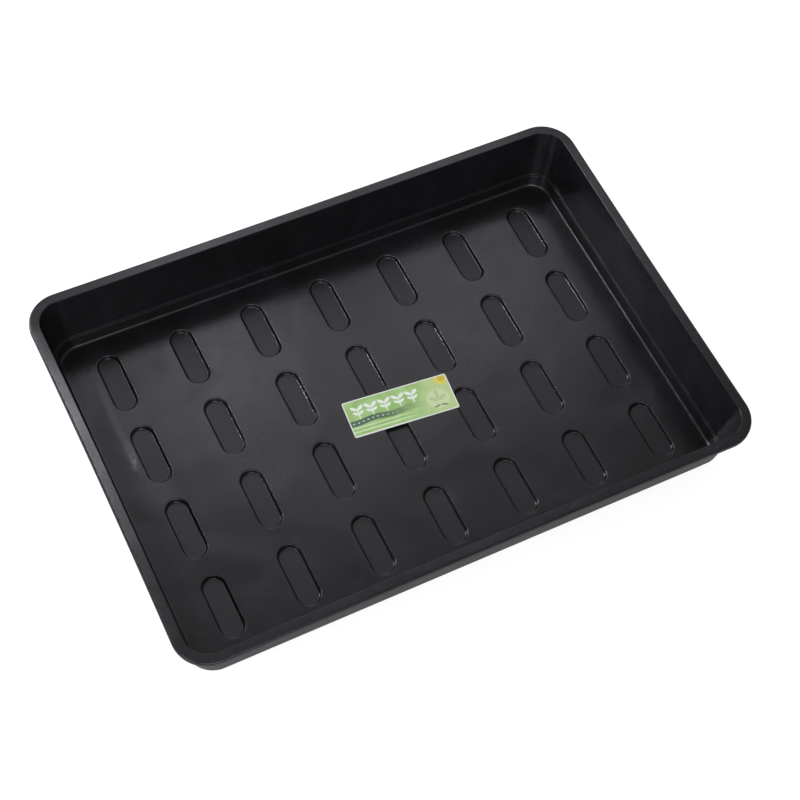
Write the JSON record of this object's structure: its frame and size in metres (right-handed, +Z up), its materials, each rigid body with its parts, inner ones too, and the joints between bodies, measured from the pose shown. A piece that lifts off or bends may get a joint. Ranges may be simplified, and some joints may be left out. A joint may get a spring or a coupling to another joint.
{
  "type": "seed tray",
  "caption": "Shallow rectangular moulded tray with round corners, a flat rim, a narrow inner ledge and slot-shaped floor pockets whose undersides are its feet; a film label on the floor.",
  "frame": {"origin": "under the centre of the tray, on the plane that its feet rest on", "axes": "+X along the tray's length, +Y along its width, +Z up out of its open top"},
  "size_m": [0.604, 0.42, 0.0784],
  "materials": {
    "tray_plastic": "moulded black polypropylene, fine satin",
    "label_film": "printed film, light green"
  },
  "bodies": {
    "root": {"tray": "tray_plastic", "label": "label_film"}
  },
  "joints": []
}
